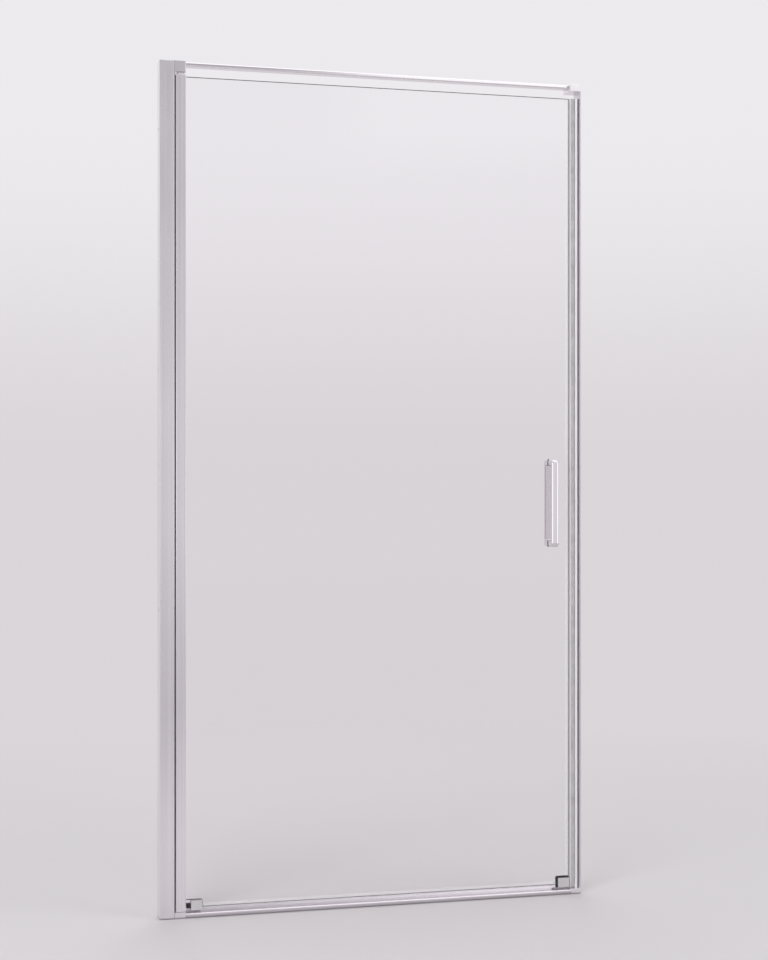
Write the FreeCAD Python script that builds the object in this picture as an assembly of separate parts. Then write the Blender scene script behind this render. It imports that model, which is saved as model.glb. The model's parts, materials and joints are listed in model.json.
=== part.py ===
import FreeCAD, Part
import math
import os

# Pivot shower door for a recess, seen from the room: X to the right, Y into the shower, Z up.
# The origin is on the floor, half way between the walls, in the middle plane of the glass.
# The leaf turns about the two pins and swings out of the shower, towards -Y.
# All sizes are in millimetres.

# ---- driving dimensions: the whole door ----
overall_width = 990.0  # from wall to wall
overall_height = 1900.0
frame_depth = 44.0

# ---- fits and clearances ----
slide_gap = 0.4  # hinge post over its wall channel
seat_gap = 0.2  # pieces that plug into one another
bearing_clearance = 0.05  # pivot pin in its bush, on the radius
press_clearance = 0.02  # pins and bushes in their seats, on the radius
thread_clearance = 0.05  # screws in their holes, on the radius
thrust_gap = 0.1  # leaf over its thrust washer
magnet_gap = 0.6  # leaf magnet to jamb magnet
wiper_gap = 0.4  # drip seal to the threshold's rear dam
sill_gap = 0.8  # leaf over the foot of the strike jamb
sealant_gap = 1.0  # room for sealant under the post and along the front of the floor pieces
sealant_depth = 2.5
overcut = 1.0  # how far a cutting tool passes the face that it cuts
touch = 1e-6  # two places nearer than this are the same

# ---- hinge side: wall channel and post ----
channel_wall = 1.6
channel_reach = 23.0
channel_lip = 2.0
post_width = 33.0
post_wall = 1.6
post_web = 1.8
post_edge_radius = 1.8
post_foot = 0.5  # the post's open edges stop this far from the wall
post_cap_plate = 1.5
post_cap_skirt = 9.0
groove_mouth = 3.0  # groove for the fin seal
groove_width = 6.0
groove_depth = 2.2
groove_lip = 1.2
groove_offset = 15.5  # groove behind the post's front face
fin_gap = 0.3  # fin short of the stile's side

# ---- leaf: hinge stile ----
stile_gap = 3.0  # shadow gap between post and stile
stile_setback = 1.0  # stile face behind the post's face
stile_width = 22.5
stile_wall = 1.6
stile_back = 12.0  # back of the stile behind the glass plane
stile_nose_radius = 2.0
stile_edge_radius = 1.2
pivot_inset = 5.5  # axis from the stile's hinge-side edge
pivot_depth = 7.0  # axis behind the stile's front face
pocket_depth = 13.0
cap_plate = 1.5
cap_spigot = 9.0
cap_grip = 0.05  # spigot in its chamber
port_wall = 1.4  # round the screw holes at the stile's ends

# ---- leaf: glass and glazing gasket ----
glass_thickness = 6.0
leaf_top_gap = 30.0  # leaf top below the top of the frame
glass_bottom = 19.5
glass_strike_inset = 23.0  # glass edge from the strike wall
gasket_arm = 2.1
gasket_base = 1.5
gasket_show = 1.5  # gasket beyond the stile
glass_arris = 1.0  # ground chamfer along the glass edges
notch_radius = 3.0
hinge_notch_reach = 38.5  # along the sill, from the stile to the notch's end
hinge_notch_top = 36.2
strike_notch_width = 32.0
strike_notch_top = 38.6

# ---- pivots ----
pin_radius = 2.5
bush_wall = 1.5
bush_length = 14.0
bush_flange_rim = 0.6
washer_thickness = 1.2
washer_stand = 0.4  # washer above its seat in the block
washer_rim = 1.6
pin_in_block = 10.0  # lower pin inside its block
pin_seat = 16.0  # upper pin inside its block

# ---- frame: corner blocks, rail, threshold ----
pivot_block_width = 25.5
top_block_height = 24.0
bottom_block_height = 14.0
block_edge_radius = 1.5  # front upright edge
rail_height = 8.5
rail_depth = 24.0
rail_wall = 1.6
rail_edge_radius = 2.6
rail_seat = 13.0  # length of rail inside each end piece
ridge_height = 10.4
ridge_width = 4.6
ridge_front_radius = 2.2
ridge_back_radius = 1.4
deck_height = 8.6
dam_height = 17.0
dam_thickness = 2.6
dam_offset = 13.2  # face of the rear dam behind the glass plane
sill_back_height = 5.0
sill_wall = 1.6
sill_seat = 10.0  # tongue of each end block inside the threshold
strike_block_width = 25.0
strike_block_height = 12.3
bracket_width = 28.5
bracket_height = 16.0

# ---- strike side: jamb and magnets ----
jamb_web = 2.0
jamb_wall = 1.2
jamb_channel = 11.0  # clear width between the two ribs
jamb_rib = 4.0
weep_width = 9.0
weep_height = 3.5
strip_front = 2.0  # magnet strip beyond the ribs
strip_leg = 1.0  # its legs outside the ribs
strip_leg_gap = 1.7  # ends of the legs from the jamb's web
magnet_chamfer = 0.8  # along the front edges of both magnets' covers
seal_clip_length = 9.0
seal_clip_wall = 0.9
seal_chamber_width = 12.0
magnet_wall = 1.0

# ---- drip seal and corner pieces at the foot of the glass ----
drip_clip_top = 27.0
drip_wall = 0.9
wiper_wall = 1.4
drip_fin = 12.6  # lower edge of the fin above the floor
corner_block_depth = 14.0
corner_block_radius = 1.2
hinge_block_length = 25.0
hinge_rubber = 1.3  # rubber over the hinge corner block
strike_rubber_side = 4.0  # rubber beside the strike corner block
strike_rubber_top = 3.2
plug_length = 9.5
plug_low = 18.0
plug_high = 28.0

# ---- handles ----
handle_length = 206.0
handle_width = 17.5
handle_reach = 27.0  # from the glass to the front of the grip
handle_grip = 8.0
handle_leg = 14.0
handle_height = 917.5
handle_inset = 43.0  # from the glass edge
handle_outer_radius = 9.0
handle_inner_radius = 4.0
handle_edge = 2.2  # softened long edges
handle_washer = 1.0
washer_inset = 0.4  # washer inside the leg's outline
grub_inset = 6.5  # grub screw's line from the leg's foot
glass_hole_radius = 6.0
stud_radius = 3.0
stud_depth = 11.0
grub_radius = 2.0

# ---- screws ----
wall_hole_radius = 2.6
wall_hole_end = 150.0  # first and last wall screw from the ends of the frame
wall_hole_count = 4
clamp_radius = 2.1
clamp_head_radius = 3.8
clamp_head = 1.6
clamp_length = 9.0
clamp_end = 250.0
clamp_count = 3
clamp_cap_wall = 0.7
block_screw_radius = 2.0
block_screw_length = 14.0
block_screw_head_radius = 3.6
block_screw_head = 1.8
cap_screw_radius = 1.6
cap_screw_length = 14.0
cap_screw_head_radius = 2.9

# ---- places that follow from the sizes above ----
wall_left = -overall_width / 2
wall_right = overall_width / 2
front = -frame_depth / 2
back = frame_depth / 2
post_right = wall_left + post_width
stile_left = post_right + stile_gap
stile_right = stile_left + stile_width
stile_front = front + stile_setback
axis_x = stile_left + pivot_inset
axis_y = stile_front + pivot_depth
leaf_top = overall_height - leaf_top_gap
leaf_bottom = bottom_block_height + washer_stand + thrust_gap
pocket_half = glass_thickness / 2 + gasket_arm + seat_gap
pocket_floor = stile_right - pocket_depth
glass_left = pocket_floor + gasket_base + seat_gap
glass_right = wall_right - glass_strike_inset
glass_half = glass_thickness / 2
hinge_notch_end = stile_right + hinge_notch_reach
strike_notch_end = glass_right - strike_notch_width
block_right = post_right + pivot_block_width
bush_radius = pin_radius + bearing_clearance + bush_wall
port_radius = bush_radius + press_clearance
washer_floor = bottom_block_height + washer_stand - washer_thickness
top_block_floor = overall_height - top_block_height
rail_floor = overall_height - rail_height
bracket_left = wall_right - bracket_width
bracket_floor = overall_height - bracket_height
strike_block_left = wall_right - strike_block_width
corner_floor = strike_block_height + sill_gap
clamp_x = wall_left + channel_reach / 2
groove_y = front + groove_offset
groove_floor = post_right - groove_lip - groove_depth
block_screw_y = (axis_y + back) / 2
block_screw_start = post_right - post_web
top_screw_z = (top_block_floor + rail_floor) / 2
bottom_screw_z = bottom_block_height / 2
cap_screw_x = stile_right - stile_wall - port_wall / 2 - cap_screw_radius
cap_screw_y = stile_front + stile_wall + port_wall / 2 + cap_screw_radius
handle_x = glass_right - handle_inset
fin_tip = stile_left - fin_gap
handle_bore_spacing = handle_length - handle_leg
jamb_face = wall_right - jamb_web - jamb_rib - strip_front
magnet_face = jamb_face - magnet_gap


def spot(plane, a, b, along):
    """The point (a, b) of a section plane, at a distance along its normal."""
    if plane == "XY":
        return FreeCAD.Vector(a, b, along)
    if plane == "YZ":
        return FreeCAD.Vector(along, a, b)
    return FreeCAD.Vector(a, along, b)


def outline(corners, plane="XY", along=0.0):
    """Closed wire through corners (a, b) or (a, b, radius), each rounded by its radius."""
    edges = []
    count = len(corners)
    ends = []
    for i, corner in enumerate(corners):
        p = FreeCAD.Vector(corner[0], corner[1], 0)
        radius = corner[2] if len(corner) > 2 else 0.0
        if radius <= 0:
            ends.append((p, None, p))
            continue
        before = (FreeCAD.Vector(*corners[i - 1][:2], 0) - p).normalize()
        after = (FreeCAD.Vector(*corners[(i + 1) % count][:2], 0) - p).normalize()
        half = before.getAngle(after) / 2
        reach = radius / math.tan(half)
        centre = p + (before + after).normalize() * (radius / math.sin(half))
        middle = centre + (p - centre).normalize() * radius
        ends.append((p + before * reach, middle, p + after * reach))
    for i, (start, middle, end) in enumerate(ends):
        if middle is not None:
            points = [spot(plane, v.x, v.y, along) for v in (start, middle, end)]
            edges.append(Part.Arc(*points).toShape())
        following = ends[(i + 1) % count][0]
        if end.distanceToPoint(following) > 1e-6:
            line = [spot(plane, v.x, v.y, along) for v in (end, following)]
            edges.append(Part.LineSegment(*line).toShape())
    return Part.Wire(edges)


def profile(corners, start, end, plane="XY", hollows=()):
    """A section extruded along its plane's normal from start to end, with hollow chambers."""
    face = Part.Face(outline(corners, plane, start))
    for hollow in hollows:
        face = face.cut(Part.Face(outline(hollow, plane, start)))
    return face.extrude(spot(plane, 0, 0, end - start))


def box(x0, x1, y0, y1, z0, z1):
    return Part.makeBox(x1 - x0, y1 - y0, z1 - z0, FreeCAD.Vector(x0, y0, z0))


def rectangle(a0, a1, b0, b1, radius=0.0):
    return [(a0, b0, radius), (a1, b0, radius), (a1, b1, radius), (a0, b1, radius)]


def rod(radius, x, y, z, length, way="Z"):
    """A round bar that starts at a point and runs along +X, +Y or +Z."""
    ways = {"X": (1, 0, 0), "Y": (0, 1, 0), "Z": (0, 0, 1)}
    return Part.makeCylinder(radius, length, FreeCAD.Vector(x, y, z), FreeCAD.Vector(*ways[way]))


def spaced(first, last, count):
    return [first + (last - first) * i / (count - 1) for i in range(count)]


def save(name, shape):
    shape.exportStep("parts/" + name + ".step")


def group(solids):
    return Part.makeCompound(solids)


wall_hole_heights = spaced(wall_hole_end, overall_height - wall_hole_end, wall_hole_count)
clamp_heights = spaced(clamp_end, overall_height - clamp_end, clamp_count)


# ---- hinge side of the frame ----
def hinge_wall_channel():
    """U channel screwed to the wall, with its edges turned in."""
    half = back - post_wall - slide_gap
    end = wall_left + channel_reach
    inner = end - channel_wall
    section = [
        (wall_left, -half),
        (end, -half),
        (end, -half + channel_wall + channel_lip),
        (inner, -half + channel_wall + channel_lip),
        (inner, -half + channel_wall),
        (wall_left + channel_wall, -half + channel_wall),
        (wall_left + channel_wall, half - channel_wall),
        (inner, half - channel_wall),
        (inner, half - channel_wall - channel_lip),
        (end, half - channel_wall - channel_lip),
        (end, half),
        (wall_left, half),
    ]
    shape = profile(section, sealant_gap, overall_height - post_cap_plate)
    for z in wall_hole_heights:
        shape = shape.cut(rod(wall_hole_radius, wall_left - overcut, 0, z, channel_wall + 2 * overcut, "X"))
    for z in clamp_heights:
        shape = shape.cut(rod(clamp_radius + thread_clearance, clamp_x, 0, z, back, "Y"))
    return shape


def hinge_frame_post():
    """Outer post that slides over the wall channel, with a groove for the fin seal in its web."""
    left = wall_left + post_foot
    mouth = groove_mouth / 2
    pocket = groove_width / 2
    groove = post_right - groove_lip
    floor = groove_floor
    rib = floor - post_wall
    inner = post_right - post_web
    section = [
        (left, front),
        (post_right, front, post_edge_radius),
        (post_right, groove_y - mouth),
        (groove, groove_y - mouth),
        (groove, groove_y - pocket),
        (floor, groove_y - pocket),
        (floor, groove_y + pocket),
        (groove, groove_y + pocket),
        (groove, groove_y + mouth),
        (post_right, groove_y + mouth),
        (post_right, back, post_edge_radius),
        (left, back),
        (left, back - post_wall),
        (inner, back - post_wall),
        (inner, groove_y + pocket + post_wall),
        (rib, groove_y + pocket + post_wall),
        (rib, groove_y - pocket - post_wall),
        (inner, groove_y - pocket - post_wall),
        (inner, front + post_wall),
        (left, front + post_wall),
    ]
    shape = profile(section, sealant_gap, overall_height - post_cap_plate)
    for z in clamp_heights:
        shape = shape.cut(rod(clamp_radius + thread_clearance, clamp_x, 0, z, back + overcut, "Y"))
    for z in (top_screw_z, bottom_screw_z):
        hole = block_screw_radius + thread_clearance
        start = block_screw_start - overcut
        shape = shape.cut(rod(hole, start, block_screw_y, z, post_web + 2 * overcut, "X"))
    return shape


def hinge_post_cap():
    """Lid over the open top of the post, with two ears inside the wall channel."""
    left = wall_left + post_foot
    floor = overall_height - post_cap_plate
    plan = [
        (left, front),
        (post_right, front, post_edge_radius),
        (post_right, back, post_edge_radius),
        (left, back),
    ]
    plate = profile(plan, floor, overall_height)
    inside = back - post_wall - slide_gap - channel_wall - channel_lip - seat_gap
    ear_left = wall_left + channel_wall + seat_gap
    ear = box(ear_left, wall_left + channel_reach, -inside, inside, floor - post_cap_skirt, floor)
    core = box(
        ear_left + channel_wall, wall_left + channel_reach - channel_wall,
        -inside + channel_wall, inside - channel_wall,
        floor - post_cap_skirt - overcut, floor,
    )
    return plate.fuse(ear.cut(core)).removeSplitter()


def hinge_fin_seal():
    """Rubber seal whose root fills the post's groove and whose fin closes the shadow gap."""
    root = groove_width / 2 - seat_gap
    neck = groove_mouth / 2 - seat_gap
    floor = groove_floor + seat_gap
    shoulder = post_right - groove_lip - seat_gap
    section = [
        (floor, groove_y - root),
        (shoulder, groove_y - root),
        (shoulder, groove_y - neck),
        (fin_tip, groove_y - neck),
        (fin_tip, groove_y + neck),
        (shoulder, groove_y + neck),
        (shoulder, groove_y + root),
        (floor, groove_y + root),
    ]
    return profile(section, bottom_block_height, top_block_floor)


# ---- pivot blocks, rail and threshold ----
def rail_seat_cut(x0, x1):
    half = rail_depth / 2 + seat_gap
    return box(x0, x1, -half, half, rail_floor - seat_gap, overall_height + overcut)


def top_pivot_block():
    """Top hinge corner of the frame: carries the rail's end and the upper pin."""
    plan = [
        (post_right, front),
        (block_right, front, block_edge_radius),
        (block_right, back),
        (post_right, back),
    ]
    shape = profile(plan, top_block_floor, overall_height)
    shape = shape.cut(rail_seat_cut(block_right - rail_seat, block_right + overcut))
    floor = top_block_floor - overcut
    shape = shape.cut(rod(pin_radius + press_clearance, axis_x, axis_y, floor, pin_seat + overcut))
    hole = block_screw_radius + thread_clearance
    return shape.cut(rod(hole, block_screw_start, block_screw_y, top_screw_z, block_screw_length, "X"))


def bottom_pivot_block():
    """Bottom hinge corner: carries the leaf's weight on the lower pin and closes the threshold."""
    plan = [
        (post_right, front),
        (block_right, front, block_edge_radius),
        (block_right, back),
        (post_right, back),
    ]
    shape = profile(plan, 0, bottom_block_height)
    shape = shape.fuse(sill_tongue(block_right, block_right + sill_seat)).removeSplitter()
    shape = shape.cut(sealant_cut(post_right, block_right))
    seat = port_radius + washer_rim + seat_gap
    shape = shape.cut(rod(seat, axis_x, axis_y, washer_floor, washer_thickness + overcut))
    floor = bottom_block_height - pin_in_block
    shape = shape.cut(rod(pin_radius + press_clearance, axis_x, axis_y, floor, pin_in_block + overcut))
    hole = block_screw_radius + thread_clearance
    return shape.cut(rod(hole, block_screw_start, block_screw_y, bottom_screw_z, block_screw_length, "X"))


def sill_chamber(gap):
    """Corners of the threshold's hollow, drawn in by a gap."""
    low = sill_wall + gap
    high = deck_height - sill_wall - gap
    near = front + sill_wall + gap
    return [(near, low), (near, high), (dam_offset - gap, high), (dam_offset - gap, low)]


def sealant_cut(x0, x1):
    """Rebate for the sealant under the front edge of a floor piece."""
    return box(x0, x1, front - overcut, front + sealant_depth, -overcut, sealant_gap)


def sill_tongue(x0, x1):
    return profile(sill_chamber(seat_gap), x0, x1, "YZ")


def threshold():
    """Low sill with a rounded front ridge, a drained deck and a dam behind the drip seal."""
    slope = ridge_height - deck_height
    section = [
        (front + sealant_depth, 0),
        (front + sealant_depth, sealant_gap),
        (front, sealant_gap),
        (front, ridge_height, ridge_front_radius),
        (front + ridge_width, ridge_height, ridge_back_radius),
        (front + ridge_width + slope, deck_height),
        (dam_offset, deck_height),
        (dam_offset, dam_height),
        (dam_offset + dam_thickness, dam_height),
        (dam_offset + dam_thickness, sill_back_height),
        (back, sill_back_height),
        (back, 0),
    ]
    return profile(section, block_right, strike_block_left, "YZ", [sill_chamber(0.0)])


def rail_section():
    half = rail_depth / 2
    top = overall_height
    return [
        (-half, rail_floor, rail_edge_radius),
        (half, rail_floor, rail_edge_radius),
        (half, top, rail_edge_radius),
        (-half, top, rail_edge_radius),
    ]


def top_rail():
    """Slim hollow bar over the leaf, seated in the pivot block and in the strike bracket."""
    half = rail_depth / 2 - rail_wall
    hollow = rectangle(-half, half, rail_floor + rail_wall, overall_height - rail_wall)
    start = block_right - rail_seat + seat_gap
    end = bracket_left + rail_seat - seat_gap
    return profile(rail_section(), start, end, "YZ", [hollow])


def top_strike_bracket():
    """Cap over the strike jamb that holds the rail's other end."""
    plan = [
        (bracket_left, front, block_edge_radius),
        (wall_right, front),
        (wall_right, back),
        (bracket_left, back),
    ]
    shape = profile(plan, bracket_floor, overall_height)
    return shape.cut(rail_seat_cut(bracket_left - overcut, bracket_left + rail_seat))


def bottom_strike_block():
    """Foot of the strike jamb, plugged into the threshold."""
    plan = [
        (strike_block_left, front, block_edge_radius),
        (wall_right, front),
        (wall_right, back),
        (strike_block_left, back),
    ]
    shape = profile(plan, 0, strike_block_height)
    shape = shape.fuse(sill_tongue(strike_block_left - sill_seat, strike_block_left)).removeSplitter()
    return shape.cut(sealant_cut(strike_block_left, wall_right))


# ---- strike side of the frame ----
def strike_jamb():
    """Flat wall profile with a weep slot; two ribs along the leaf hold the magnet strip."""
    face = wall_right - jamb_web
    tip = face - jamb_rib
    inner = jamb_channel / 2
    outer = inner + jamb_wall
    section = [
        (wall_right, front),
        (wall_right, back),
        (face, back),
        (face, outer),
        (tip, outer),
        (tip, inner),
        (face, inner),
        (face, -inner),
        (tip, -inner),
        (tip, -outer),
        (face, -outer),
        (face, front),
    ]
    shape = profile(section, strike_block_height, bracket_floor)
    side = outer + overcut
    above_leaf = box(tip - overcut, face, -side, side, leaf_top, bracket_floor + overcut)
    shape = shape.cut(above_leaf)
    for z in wall_hole_heights:
        shape = shape.cut(rod(wall_hole_radius, face - overcut, 0, z, jamb_web + 2 * overcut, "X"))
    weep_start = (front - outer - weep_width) / 2
    slot = box(face - overcut, wall_right + overcut, weep_start, weep_start + weep_width,
               strike_block_height, strike_block_height + weep_height)
    return shape.cut(slot)


def strike_magnet_strip():
    """White strip with a magnet core, clipped over both ribs of the jamb."""
    foot = wall_right - jamb_web - strip_leg_gap
    seat = wall_right - jamb_web - jamb_rib - seat_gap
    inner = jamb_channel / 2 + jamb_wall + seat_gap
    outer = inner + strip_leg
    section = [
        (foot, -outer),
        (foot, -inner),
        (seat, -inner),
        (seat, inner),
        (foot, inner),
        (foot, outer),
        (jamb_face + magnet_chamfer, outer),
        (jamb_face, outer - magnet_chamfer),
        (jamb_face, -outer + magnet_chamfer),
        (jamb_face + magnet_chamfer, -outer),
    ]
    return profile(section, strike_block_height, leaf_top)


# ---- leaf: stile and its ends ----
def stile_side(y):
    """X of the stile's slanting back-left side at a given depth."""
    low, high = axis_y + pivot_inset + stile_wall, stile_back
    top_x = pocket_floor - stile_wall
    return stile_left + (top_x - stile_left) * (y - low) / (high - low)


def stile_outline():
    low = axis_y + pivot_inset + stile_wall
    return [
        (stile_left, stile_front, stile_nose_radius),
        (stile_right, stile_front, stile_edge_radius),
        (stile_right, -pocket_half),
        (pocket_floor, -pocket_half),
        (pocket_floor, pocket_half),
        (stile_right, pocket_half),
        (stile_right, stile_back),
        (stile_side(stile_back), stile_back),
        (stile_left, low, stile_nose_radius),
    ]


def front_chamber():
    """Hollow between the pivot bore and the stile's strike-side wall, less the corner with the screw hole."""
    x0 = axis_x + port_radius + stile_wall
    x1 = stile_right - stile_wall
    y0 = stile_front + stile_wall
    y1 = -pocket_half - stile_wall
    corner_x = cap_screw_x - cap_screw_radius - port_wall
    corner_y = cap_screw_y + cap_screw_radius + port_wall
    return [(x0, y0), (corner_x, y0), (corner_x, corner_y), (x1, corner_y), (x1, y1), (x0, y1)]


def spigot_outline():
    """The part of the front chamber that a cap's spigot fills."""
    x0 = axis_x + port_radius + stile_wall + cap_grip
    x1 = stile_right - stile_wall - cap_grip
    y0 = cap_screw_y + cap_screw_radius + port_wall + cap_grip
    y1 = -pocket_half - stile_wall - cap_grip
    return rectangle(x0, x1, y0, y1)


def back_chamber():
    """Hollow behind the glass pocket."""
    y0 = pocket_half + stile_wall
    y1 = stile_back - stile_wall
    return rectangle(pocket_floor, stile_right - stile_wall, y0, y1)


def side_chamber():
    """Wedge-shaped hollow beside the glass pocket."""
    low = axis_y + port_radius + stile_wall
    right = pocket_floor - stile_wall
    high = pocket_half
    skin = stile_wall / math.cos(math.atan2(stile_side(high) - stile_side(low), high - low))
    return [(stile_side(low) + skin, low), (right, low), (right, high), (stile_side(high) + skin, high)]


def stile_ends():
    return leaf_bottom + cap_plate, leaf_top - cap_plate


def hinge_stile():
    """Extruded stile with a pivot bore, a glass pocket, hollow chambers and a hole for the cap screws."""
    start, end = stile_ends()
    chambers = [front_chamber(), back_chamber(), side_chamber()]
    shape = profile(stile_outline(), start, end, "XY", chambers)
    length = end - start + 2 * overcut
    shape = shape.cut(rod(port_radius, axis_x, axis_y, start - overcut, length))
    screw_hole = cap_screw_radius + thread_clearance
    return shape.cut(rod(screw_hole, cap_screw_x, cap_screw_y, start - overcut, length))


def stile_cap(outside, way):
    """Moulded plate over an end of the stile, with a spigot pressed into the front chamber.
    way is +1 or -1, the direction along Z from the plate into the stile."""
    inside = outside + way * cap_plate
    plate = profile(stile_outline(), outside, inside)
    spigot = profile(spigot_outline(), inside, inside + way * cap_spigot)
    shape = plate.fuse(spigot).removeSplitter()
    start = min(outside, inside) - overcut
    seat = port_radius + bush_flange_rim + seat_gap
    shape = shape.cut(rod(seat, axis_x, axis_y, start, cap_plate + 2 * overcut))
    return shape.cut(cap_screw(outside, way, thread_clearance))


def cap_screw(outside, way, gap=0.0):
    """Countersunk screw driven into the end of the stile or, with a gap, the hole for it."""
    half = outline([
        (0, 0),
        (cap_screw_head_radius + gap, 0),
        (cap_screw_radius + gap, cap_plate),
        (cap_screw_radius + gap, cap_screw_length),
        (0, cap_screw_length),
    ], "XZ")
    body = Part.Face(half).revolve(FreeCAD.Vector(0, 0, 0), FreeCAD.Vector(0, 0, 1), 360)
    return lay(body, FreeCAD.Vector(cap_screw_x, cap_screw_y, outside), FreeCAD.Vector(0, 0, way))


def stile_cap_screws():
    return group([cap_screw(leaf_top, -1), cap_screw(leaf_bottom, 1)])


def bush(outside, way):
    """Flanged bush for a pivot pin: its flange fills the cap's hole and lies on the stile's end."""
    length = cap_plate + bush_length
    start = min(outside, outside + way * length)
    sleeve = rod(bush_radius, axis_x, axis_y, start, length)
    low = min(outside, outside + way * cap_plate)
    flange = rod(port_radius + bush_flange_rim, axis_x, axis_y, low, cap_plate)
    bore = rod(pin_radius + bearing_clearance, axis_x, axis_y, start - overcut, length + 2 * overcut)
    return sleeve.fuse(flange).removeSplitter().cut(bore)


def hexagon(radius):
    turns = [math.radians(60 * i) for i in range(6)]
    return [(radius * math.cos(turn), radius * math.sin(turn)) for turn in turns]


def hex_screw(radius, length, head_radius, head, start, line):
    """Hexagon-headed screw: the shank starts at a point and runs along a line, the head lies behind it."""
    body = profile(hexagon(head_radius), -head, 0).fuse(rod(radius, 0, 0, 0, length))
    return lay(body, start, line)


def lay(body, start, line):
    """Move a turned piece from the Z axis to a point and a direction."""
    body.Placement = FreeCAD.Placement(start, FreeCAD.Rotation(FreeCAD.Vector(0, 0, 1), line))
    return body


# ---- leaf: glass and what clips on it ----
def glass_panel():
    """Toughened glass with arrised edges, two bottom corner notches and two holes for the handles."""
    corners = [
        (glass_left, hinge_notch_top),
        (hinge_notch_end, hinge_notch_top, notch_radius),
        (hinge_notch_end, glass_bottom),
        (strike_notch_end, glass_bottom),
        (strike_notch_end, strike_notch_top, notch_radius),
        (glass_right, strike_notch_top),
        (glass_right, leaf_top),
        (glass_left, leaf_top),
    ]
    shape = profile(corners, -glass_half, glass_half, "XZ")
    rim = [edge for edge in shape.Edges if abs(abs(edge.CenterOfMass.y) - glass_half) < touch]
    shape = shape.makeChamfer(glass_arris, rim)
    for z in handle_bores():
        shape = shape.cut(through_glass(glass_hole_radius, z))
    return shape


def through_glass(radius, z):
    return rod(radius, handle_x, -glass_half - overcut, z, glass_thickness + 2 * overcut, "Y")


def glazing_gasket():
    """U-shaped gasket round the glass edge inside the stile, with a lip that shows outside it."""
    outer = pocket_half - seat_gap / 2
    inner = glass_half + seat_gap / 2
    floor = pocket_floor + seat_gap / 2
    lip = stile_right + gasket_show
    section = [
        (floor, -outer),
        (lip, -outer),
        (lip, -inner),
        (floor + gasket_base, -inner),
        (floor + gasket_base, inner),
        (lip, inner),
        (lip, outer),
        (floor, outer),
    ]
    return profile(section, hinge_notch_top, leaf_top)


def door_magnet_seal():
    """Clear seal clipped on the glass edge, with a chamber for the leaf's magnet."""
    inner = glass_half + seat_gap / 2
    outer = inner + seal_clip_wall
    heel = glass_right + seat_gap
    web = heel + seal_clip_wall
    half = seal_chamber_width / 2
    section = [
        (glass_right - seal_clip_length, -outer),
        (web, -outer),
        (web + magnet_wall, -half),
        (magnet_face - magnet_chamfer, -half),
        (magnet_face, -half + magnet_chamfer),
        (magnet_face, half - magnet_chamfer),
        (magnet_face - magnet_chamfer, half),
        (web + magnet_wall, half),
        (web, outer),
        (glass_right - seal_clip_length, outer),
        (glass_right - seal_clip_length, inner),
        (heel, inner),
        (heel, -inner),
        (glass_right - seal_clip_length, -inner),
    ]
    shape = profile(section, corner_floor, leaf_top, "XY", [magnet_chamber(0.0)])
    left = glass_right - seal_clip_length - overcut
    side = outer + overcut
    return shape.cut(box(left, heel, -side, side, corner_floor - overcut, strike_notch_top))


def magnet_chamber(gap):
    x0 = glass_right + seat_gap + seal_clip_wall + magnet_wall + gap
    half = seal_chamber_width / 2 - magnet_wall - gap
    return rectangle(x0, magnet_face - magnet_wall - gap, -half, half)


def door_magnet_strip():
    return profile(magnet_chamber(seat_gap), corner_floor, leaf_top)


def drip_seal():
    """Clear strip under the glass: a clip, an upright fin and a wiper that meets the rear dam."""
    inner = glass_half + seat_gap / 2
    outer = inner + drip_wall
    floor = glass_bottom - seat_gap
    base = floor - drip_wall
    tip = dam_offset - wiper_gap
    fin = drip_wall / 2
    section = [
        (-outer, base),
        (-fin, base),
        (-fin, drip_fin),
        (fin, drip_fin),
        (fin, base),
        (outer, base),
        (tip, drip_fin),
        (tip, drip_fin + wiper_wall),
        (outer, base + wiper_wall),
        (outer, drip_clip_top),
        (inner, drip_clip_top),
        (inner, floor),
        (-inner, floor),
        (-inner, drip_clip_top),
        (-outer, drip_clip_top),
    ]
    return profile(section, hinge_notch_end + seat_gap, strike_notch_end - seat_gap, "YZ")


def corner_block(x0, x1, top):
    """Moulded block in a corner notch of the glass, thicker than the glass."""
    half = corner_block_depth / 2
    section = [
        (x0, corner_floor),
        (x1, corner_floor),
        (x1, top, corner_block_radius),
        (x0, top, corner_block_radius),
    ]
    return profile(section, -half, half, "XZ")


def hinge_corner_block():
    x1 = hinge_notch_end - seat_gap
    return corner_block(x1 - hinge_block_length, x1, hinge_notch_top - hinge_rubber - seat_gap)


def strike_corner_block():
    x0 = strike_notch_end + strike_rubber_side + seat_gap
    return corner_block(x0, glass_right - seat_gap, strike_notch_top - strike_rubber_top - seat_gap)


def hinge_corner_rubber():
    """Thin rubber between the notch in the glass and the hinge corner block."""
    x0 = hinge_notch_end - hinge_block_length
    x1 = hinge_notch_end - notch_radius
    top = hinge_notch_top - seat_gap / 2
    return box(x0, x1, -glass_half, glass_half, top - hinge_rubber, top)


def hinge_corner_plug():
    """Black rubber plug on the block's end, which closes the gap to the stile."""
    x1 = hinge_notch_end - hinge_block_length - 2 * seat_gap
    half = corner_block_depth / 2 - corner_block_radius
    return box(x1 - plug_length, x1, -half, half, plug_low, plug_high)


def strike_corner_rubber():
    """Black rubber between the notch and the strike corner block."""
    x0 = strike_notch_end + seat_gap / 2
    step = x0 + strike_rubber_side
    top = strike_notch_top - seat_gap / 2
    low = top - strike_rubber_top
    x1 = glass_right - seat_gap
    section = [
        (x0, corner_floor),
        (step, corner_floor),
        (step, low),
        (x1, low),
        (x1, top),
        (x0, top, notch_radius),
    ]
    return profile(section, -glass_half, glass_half, "XZ")


# ---- handles ----
def handle_bores():
    return [handle_height - handle_bore_spacing / 2, handle_height + handle_bore_spacing / 2]


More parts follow.
